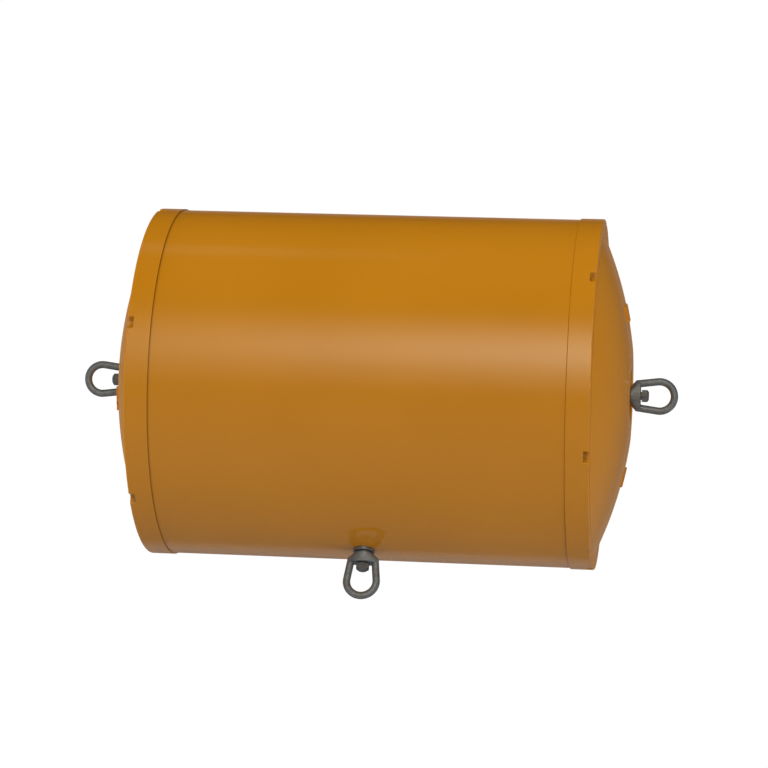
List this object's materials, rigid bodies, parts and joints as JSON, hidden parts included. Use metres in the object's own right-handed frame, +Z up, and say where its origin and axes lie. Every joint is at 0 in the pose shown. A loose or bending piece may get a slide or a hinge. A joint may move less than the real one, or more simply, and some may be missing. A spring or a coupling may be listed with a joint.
{
  "type": "barrier float",
  "caption": "Cylindrical barrier float: a foam filled plastic tube with domed end caps, and swivel eyes on its ends and under its middle",
  "frame": {"origin": "on the float's axis at mid length", "axes": "+X along the float toward its right end, +Z up, away from the middle eye, +Y to the far side"},
  "size_m": [1.0506, 0.61, 0.6973],
  "materials": {
    "hull_orange": "glossy moulded plastic",
    "cap_orange": "glossy moulded plastic",
    "foam": "closed cell foam",
    "machined_steel": "plain machined steel",
    "forged_steel": "dark forged steel",
    "dark_steel": "dark blackened steel"
  },
  "bodies": {
    "float": {"hull_tube": "hull_orange", "left_end_cap": "cap_orange", "right_end_cap": "cap_orange", "foam_core": "foam", "centre_block": "machined_steel", "lower_saddle": "machined_steel", "left_backing_plate": "machined_steel", "right_backing_plate": "machined_steel", "left_rod": "machined_steel", "right_rod": "machined_steel", "lower_rod": "machined_steel", "left_coupling": "machined_steel", "right_coupling": "machined_steel", "lower_coupling": "machined_steel", "left_collar": "forged_steel", "left_thrust_washer": "dark_steel", "left_eye_bolt": "dark_steel", "right_collar": "forged_steel", "right_thrust_washer": "dark_steel", "right_eye_bolt": "dark_steel", "lower_collar": "forged_steel", "lower_thrust_washer": "dark_steel", "lower_eye_bolt": "dark_steel"},
    "left_swivel": {"left_eye": "forged_steel"},
    "right_swivel": {"right_eye": "forged_steel"},
    "lower_swivel": {"lower_eye": "forged_steel"}
  },
  "joints": [
    {"name": "left_swivel_turn", "type": "hinge", "parent": "float", "child": "left_swivel", "pos_m": [-0.436, 0, 0], "axis": [-1, 0, 0], "continuous": true},
    {"name": "right_swivel_turn", "type": "hinge", "parent": "float", "child": "right_swivel", "pos_m": [0.436, 0, 0], "axis": [1, 0, 0], "continuous": true},
    {"name": "lower_swivel_turn", "type": "hinge", "parent": "float", "child": "lower_swivel", "pos_m": [0, 0, -0.303], "axis": [0, 0, -1], "continuous": true}
  ]
}
